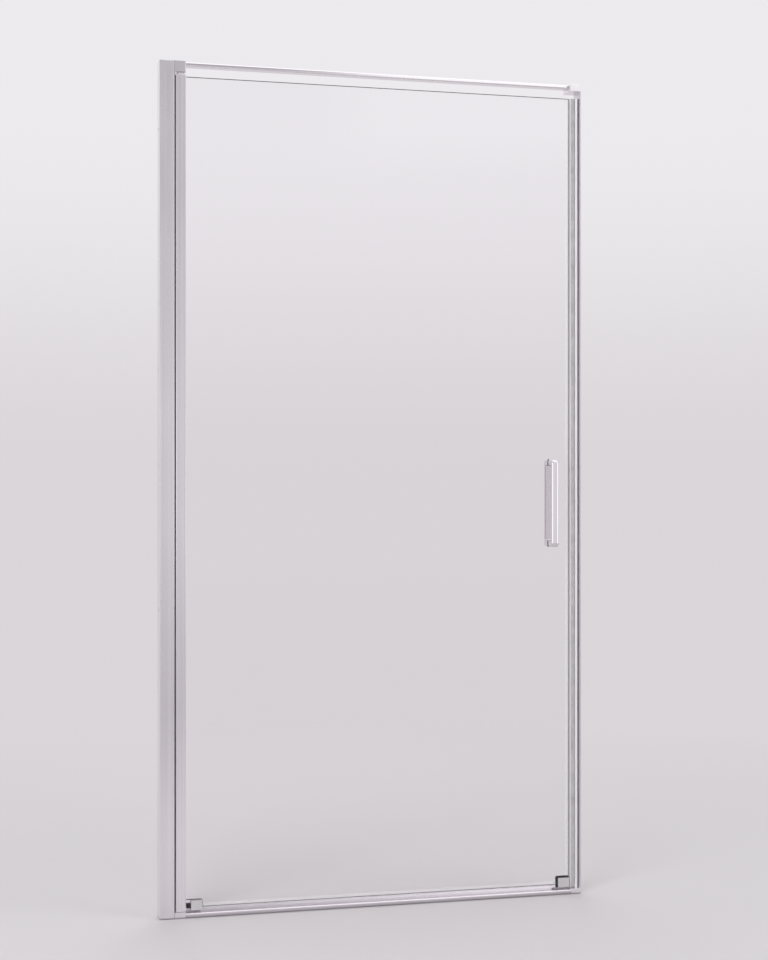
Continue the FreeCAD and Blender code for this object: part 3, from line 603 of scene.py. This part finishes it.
def bow_handle(node, side):
    """Flat bow: a bar whose ends are extruded back as legs, with round corners and soft edges.
    side is -1 outside the shower and +1 inside it."""
    low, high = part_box(node)
    face, foot = (low.y, high.y) if side < 0 else (high.y, low.y)
    grip = face - side * HANDLE_GRIP
    lower, upper = low.z + HANDLE_LEG, high.z - HANDLE_LEG
    near_low = (low.x, min(face, grip), low.z)
    near_high = (high.x, max(face, grip), high.z)
    piece = add_block(node + "_bow", near_low, near_high)
    bpy.ops.object.mode_set(mode="EDIT")
    bisect((0, 0, lower), (0, 0, 1))
    bisect((0, 0, upper), (0, 0, 1))
    pick(piece, "FACE", lambda c, n: near(c.y, grip) and not lower < c.z < upper)
    bpy.ops.mesh.extrude_region_move(TRANSFORM_OT_translate={"value": (0, foot - grip, 0)})
    join_flat_faces()
    leave_edit()

    def across(way):
        return abs(way.x) > 0.9 * way.length

    pick(piece, "EDGE", lambda m, way: across(way) and near(m.y, face))
    bpy.ops.mesh.bevel(offset=HANDLE_OUTER_CORNER, segments=8, affect="EDGES")
    leave_edit()
    pick(piece, "EDGE", lambda m, way: across(way) and near(m.y, grip)
         and (near(m.z, lower) or near(m.z, upper)))
    bpy.ops.mesh.bevel(offset=HANDLE_INNER_CORNER, segments=5, affect="EDGES")
    leave_edit()

    def on_side(m, way):
        return not across(way) and (near(m.x, low.x) or near(m.x, high.x)) and not near(m.y, foot)

    def outside(m):
        corner = abs(m.y - face) < HANDLE_OUTER_CORNER
        end = m.z < low.z + HANDLE_OUTER_CORNER or m.z > high.z - HANDLE_OUTER_CORNER
        return near(m.y, face) or near(m.z, low.z) or near(m.z, high.z) or (corner and end)

    pick(piece, "EDGE", lambda m, way: on_side(m, way) and outside(m))
    bpy.ops.mesh.bevel(offset=HANDLE_LONG_EDGE, segments=5, affect="EDGES")
    leave_edit()
    pick(piece, "EDGE", lambda m, way: on_side(m, way) and not outside(m))
    bpy.ops.mesh.bevel(offset=HANDLE_INNER_EDGE, segments=2, affect="EDGES")
    leave_edit()
    return piece


GRUB_LENGTH = 0.0035
GRUB_PLAY = 0.00015
GRUB_CHAMFER = 0.0003
SOCKET_RADIUS = 0.0011
SOCKET_DEPTH = 0.0016


def make_handles():
    """Both bows, with a grub screw in each foot of the inner one."""
    finish_piece(bow_handle("outer_handle", -1), "door_leaf", "chrome", "outer_handle")
    inner = bow_handle("inner_handle", 1)
    low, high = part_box("handle_grub_screws")
    radius = (high.x - low.x) / 2
    middle_x, middle_y = (low.x + high.x) / 2, (low.y + high.y) / 2
    bottoms = (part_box("inner_handle")[0].z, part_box("inner_handle")[1].z - HANDLE_LEG)
    for bottom in bottoms:
        place = (middle_x, middle_y, bottom)
        cut_with(inner, add_rod("grub_hole", place, radius + GRUB_PLAY, 2 * GRUB_LENGTH))
    make_active(inner)
    finish_piece(inner, "door_leaf", "chrome", "inner_handle")
    first = add_rod("lower_grub_screw", (middle_x, middle_y, bottoms[0] + GRUB_LENGTH / 2),
                    radius, GRUB_LENGTH, 24)
    pick(first, "EDGE", lambda m, way: near(m.z, bottoms[0]))
    bpy.ops.mesh.bevel(offset=GRUB_CHAMFER, segments=2, affect="EDGES")
    leave_edit()
    mouth = (middle_x, middle_y, bottoms[0])
    cut_with(first, add_rod("socket", mouth, SOCKET_RADIUS, 2 * SOCKET_DEPTH, 6))
    second = placed_copy(first, "upper_grub_screw", (0, 0, bottoms[1] - bottoms[0]))
    for screw, stands_for in ((first, ("handle_grub_screws",)), (second, ())):
        make_active(screw)
        finish_piece(screw, "door_leaf", slot_of["handle_grub_screws"], *stands_for)


# ---------------------------------------------------------------- covers and screws
CAP_RIM = 0.0016
DISH_BORDER = 0.0009
DISH_DEPTH = 0.0003
SHANK_RADIUS = 0.0016
SHANK_LENGTH = 0.0125
CONE_DEPTH = 0.0015
RECESS_LENGTH = 0.0034
RECESS_WIDTH = 0.0008
RECESS_DEPTH = 0.0012


def make_snap_caps():
    """Three round covers on the post's rear face, each with a domed rim and a shallow dish."""
    low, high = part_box("clamp_screw_caps")
    radius = (high.x - low.x) / 2
    x = (low.x + high.x) / 2
    heights = (low.z + radius, (low.z + high.z) / 2, high.z - radius)
    middle = (x, (low.y + high.y) / 2, heights[0])
    first = add_rod("snap_cap_1", middle, radius, high.y - low.y, 48, lying=True)
    pick(first, "FACE", lambda c, n: near(c.y, high.y))
    bpy.ops.mesh.bevel(offset=CAP_RIM, segments=5, affect="EDGES")
    leave_edit()
    pick(first, "FACE", lambda c, n: near(c.y, high.y))
    bpy.ops.mesh.inset(thickness=DISH_BORDER)
    bpy.ops.transform.translate(value=(0, -DISH_DEPTH, 0))
    leave_edit()
    caps = [first]
    for number, height in enumerate(heights[1:], 2):
        caps.append(placed_copy(first, "snap_cap_%d" % number, (0, 0, height - heights[0])))
    slot = slot_of["clamp_screw_caps"]
    for cap in caps:
        make_active(cap)
        finish_piece(cap, "frame", slot, *(["clamp_screw_caps"] if cap is first else []))


def make_cap_screws():
    """Countersunk screws in the stile's end caps, with a cross recess."""
    low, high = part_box("stile_cap_screws")
    head = (high.x - low.x) / 2
    x, y = (low.x + high.x) / 2, (low.y + high.y) / 2
    shank_middle = (x, y, low.z + CONE_DEPTH + SHANK_LENGTH / 2)
    lower = add_rod("lower_cap_screw", shank_middle, SHANK_RADIUS, SHANK_LENGTH, 32)
    pick(lower, "FACE", lambda c, n: near(c.z, low.z + CONE_DEPTH))
    bpy.ops.mesh.extrude_region_move(TRANSFORM_OT_translate={"value": (0, 0, -CONE_DEPTH)})
    bpy.ops.transform.resize(value=(head / SHANK_RADIUS, head / SHANK_RADIUS, 1))
    leave_edit()
    for along, across in ((RECESS_LENGTH, RECESS_WIDTH), (RECESS_WIDTH, RECESS_LENGTH)):
        half = Vector((along / 2, across / 2, RECESS_DEPTH))
        centre = Vector((x, y, low.z))
        cut_with(lower, add_block("cross_recess", centre - half, centre + half))
    upper = placed_copy(lower, "upper_cap_screw", (0, 0, 0))
    flip = Matrix.Translation((x, y, (low.z + high.z) / 2)) @ Matrix.Rotation(math.pi, 4, "X")
    upper.data.transform(flip @ Matrix.Translation((-x, -y, -(low.z + high.z) / 2)))
    slot = slot_of["stile_cap_screws"]
    for screw, stands_for in ((lower, ("stile_cap_screws",)), (upper, ())):
        make_active(screw)
        finish_piece(screw, "door_leaf", slot, *stands_for)


# ---------------------------------------------------------------- eased edges
EASED = {
    "hinge_frame_post": 0.0013,
    "hinge_post_cap": 0.0005,
    "top_pivot_block": 0.0005,
    "bottom_pivot_block": 0.0005,
    "top_strike_bracket": 0.0007,
    "bottom_strike_block": 0.0007,
    "hinge_corner_block": 0.0008,
    "strike_corner_block": 0.0008,
}
SHORTEST_EASED = 0.003
SHARP_ANGLE = 50
WELD_DISTANCE = 1e-6


def ease_edges(node, width):
    """A merged copy of a solid with its long sharp edges broken, which stands for the node."""
    mesh = nodes[node].data.copy()
    piece = bpy.data.objects.new(node + "_eased", mesh)
    bpy.context.scene.collection.objects.link(piece)
    make_active(piece)
    bpy.ops.mesh.customdata_custom_splitnormals_clear()
    bpy.ops.object.mode_set(mode="EDIT")
    bpy.ops.mesh.select_all(action="SELECT")
    bpy.ops.mesh.remove_doubles(threshold=WELD_DISTANCE)
    join_flat_faces()
    bpy.ops.mesh.select_mode(type="EDGE")
    bpy.ops.mesh.select_all(action="DESELECT")
    bpy.ops.mesh.edges_select_sharp(sharpness=math.radians(SHARP_ANGLE))
    leave_edit()
    points = piece.data.vertices
    for edge in piece.data.edges:
        length = (points[edge.vertices[0]].co - points[edge.vertices[1]].co).length
        if length < SHORTEST_EASED:
            edge.select = False
    bpy.ops.object.mode_set(mode="EDIT")
    bpy.ops.mesh.bevel(offset=width, segments=3, affect="EDGES", clamp_overlap=True)
    leave_edit()
    finish_piece(piece, nodes[node]["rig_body"], slot_of[node], node)
    piece.data.materials[0] = finish_of(node)


# ---------------------------------------------------------------- stage
class Studio(NodeTree):
    """The world's node tree."""

    def __init__(self, name):
        world = bpy.data.worlds.new(name)
        world.use_nodes = True
        self.tree = world.node_tree
        bpy.context.scene.world = world

    def step(self, source, start, end):
        """A smooth step of a value from 0 at start to 1 at end."""
        made = self.node("ShaderNodeMapRange", interpolation_type="SMOOTHSTEP")
        made.inputs["From Min"].default_value = start
        made.inputs["From Max"].default_value = end
        self.join(source, made.inputs["Value"])
        return made.outputs["Result"]


def make_world():
    """Even light all round. What shows of it is a pale backdrop, a little brighter higher up;
    metal and glass also reflect a pale room before the door, a bright ceiling and a soft
    white card high on the right."""
    studio = Studio("studio")
    light = studio.tree.nodes["Background"]
    light.inputs["Color"].default_value = (1, 1, 1, 1)
    light.inputs["Strength"].default_value = SKY_LIGHT
    direction = studio.split("Generated")
    right, behind, up = (direction[axis] for axis in ("X", "Y", "Z"))
    backdrop = studio.blend(studio.step(up, *BACKDROP_RISE), BACKDROP_HORIZON, BACKDROP_UPPER)
    room = studio.blend(studio.step(up, *ROOM_RISE), ROOM_HORIZON, ROOM_UPPER)
    around = studio.blend(studio.step(behind, *ROOM_TO_BACKDROP), room, backdrop)
    reflected = studio.blend(studio.step(up, *CEILING_RISE), around, CEILING)
    mirrored = studio.mirrored()
    shown = studio.node("ShaderNodeBackground")
    studio.join(studio.blend(mirrored, backdrop, reflected), shown.inputs["Color"])
    card = studio.node("ShaderNodeBackground")
    glow = studio.product(
        studio.step(up, *HIGH_CARD_BOTTOM),
        studio.step(right, *HIGH_CARD_LEFT),
        studio.step(behind, *HIGH_CARD_FRONT),
        studio.step(up, *HIGH_CARD_TOP),
        HIGH_CARD_GLOW,
        mirrored,
    )
    studio.join(glow, card.inputs["Strength"])
    both = studio.node("ShaderNodeAddShader")
    studio.join(shown.outputs["Background"], both.inputs[0])
    studio.join(card.outputs["Background"], both.inputs[1])
    lit, visible = light.outputs["Background"], both.outputs["Shader"]
    output = studio.tree.nodes["World Output"]
    studio.join(studio.blend_shaders(studio.seen(), lit, visible), output.inputs["Surface"])


def make_floor():
    """Pale ground that fades into the backdrop, with the door's shadow near it."""
    start_clear()
    bpy.ops.mesh.primitive_plane_add(size=2 * FLOOR_HALF, location=(0, 0, -FLOOR_DROP))
    floor = bpy.context.object
    floor.name = "pale_floor"
    made = Finish("pale_floor").set(Base_Color=FLOOR_COLOUR, Roughness=0.7)
    coordinates = made.node("ShaderNodeTexCoord")
    length = made.node("ShaderNodeVectorMath", operation="LENGTH")
    made.join(coordinates.outputs["Object"], length.inputs[0])
    fade = made.ramp(length.outputs["Value"], 0.0, 1.0, FLOOR_FADE_START, FLOOR_FADE_END)
    depth = made.ramp(made.split("Object")["Y"], 0.0, 1.0, -ROOM_DEPTH, 0.0)
    tones = made.node("ShaderNodeValToRGB")
    stops = tones.color_ramp.elements
    stops[0].position, stops[0].color = 0.0, ROOM_HORIZON
    stops[1].position, stops[1].color = 1.0, BACKDROP_HORIZON
    for position in ROOM_FLOOR_STOPS:
        stops.new(position).color = ROOM_FLOOR
    made.join(depth, tones.inputs["Fac"])
    glow = made.node("ShaderNodeEmission")
    far = made.blend(made.mirrored(), BACKDROP_HORIZON, tones.outputs["Color"])
    made.join(far, glow.inputs["Color"])
    near_ground, far_ground = made.bsdf.outputs["BSDF"], glow.outputs["Emission"]
    made.surface(made.blend_shaders(made.product(fade, made.seen()), near_ground, far_ground))
    floor.data.materials.append(made.material)


CARD_TURN = (QUARTER_TURN, 0, QUARTER_TURN)

# name, place, width and height, glow
CARDS = (
    ("white_card_left", (-3.4, -2.2, 1.6), (5.6, 3.2), SIDE_GLOW),
    ("white_card_right", (3.4, 0.0, 1.6), (7.0, 3.2), SIDE_GLOW),
    ("bright_card_left", (-3.39, -3.1, 0.9), (3.8, 1.0), FRONT_GLOW),
    ("bright_card_right", (3.39, -2.65, 0.9), (3.7, 1.0), FRONT_GLOW),
)
DOOR_MIDDLE = (0, 0, 0.9)

# name, place, width and height, watts
LAMPS = (
    ("key_panel", (-2.8, -3.6, 2.3), (2.4, 1.8), 120),
    ("fill_panel", (3.0, -2.6, 2.2), (2.0, 2.6), 38),
    ("back_panel", (0.5, 3.4, 3.0), (2.6, 1.8), 45),
)


def add_card(name, place, size, glow):
    """An upright card beside the set that only shows as a reflection in metal and glass. It
    fades out towards its edges, so that it leaves no hard line in them."""
    start_clear()
    bpy.ops.mesh.primitive_plane_add(size=1, location=place, rotation=CARD_TURN)
    card = bpy.context.object
    card.name = name
    card.scale = (size[0], size[1], 1)
    made = Finish(name)
    light = made.node("ShaderNodeEmission")
    light.inputs["Color"].default_value = (glow, glow * 0.97, glow, 1)
    local = made.split("Object")
    fades = []
    for axis in ("X", "Y"):
        off_middle = made.calculate("ABSOLUTE", local[axis])
        fades.append(made.ramp(off_middle, 1.0, 0.0, CARD_FADE, 0.5))
    clear = made.node("ShaderNodeBsdfTransparent").outputs["BSDF"]
    made.surface(made.blend_shaders(made.product(*fades), clear, light.outputs["Emission"]))
    card.data.materials.append(made.material)
    for kind in ("camera", "diffuse", "shadow", "transmission"):
        setattr(card, "visible_" + kind, False)


def make_cards():
    """White cards left and right for the bright lines along rounded edges, and a low bright
    card before each for the lines along the handles."""
    for name, place, size, glow in CARDS:
        add_card(name, place, size, glow)


def add_lamp(name, place, size, watts):
    """A panel lamp that isn't itself seen, aimed at the middle of the door."""
    data = bpy.data.lights.new(name, "AREA")
    data.shape = "RECTANGLE"
    data.size, data.size_y = size
    data.energy = watts
    lamp = bpy.data.objects.new(name, data)
    bpy.context.scene.collection.objects.link(lamp)
    lamp.location = place
    aim = Vector(DOOR_MIDDLE) - Vector(place)
    lamp.rotation_euler = aim.to_track_quat("-Z", "Y").to_euler()
    lamp.visible_camera = False
    lamp.visible_glossy = False
    lamp.visible_transmission = False


def make_lamps():
    """A key and a fill before the door and a softer lamp behind it."""
    for name, place, size, watts in LAMPS:
        add_lamp(name, place, size, watts)


def make_camera():
    """A level camera at the photograph's place and angle."""
    data = bpy.data.cameras.new("photo_view")
    data.sensor_fit = "VERTICAL"
    data.sensor_height = SENSOR
    data.lens = CAMERA_LENS
    data.clip_end = CAMERA_REACH
    camera = bpy.data.objects.new("photo_view", data)
    bpy.context.scene.collection.objects.link(camera)
    camera.location = CAMERA_PLACE
    camera.rotation_euler = (QUARTER_TURN, 0, -math.radians(CAMERA_YAW))
    bpy.context.scene.camera = camera


dress_nodes()
make_handles()
make_snap_caps()
make_cap_screws()
for node_name, edge_width in EASED.items():
    ease_edges(node_name, edge_width)
make_world()
make_floor()
make_cards()
make_lamps()
make_camera()

scene = bpy.context.scene
scene.view_settings.view_transform = "Standard"
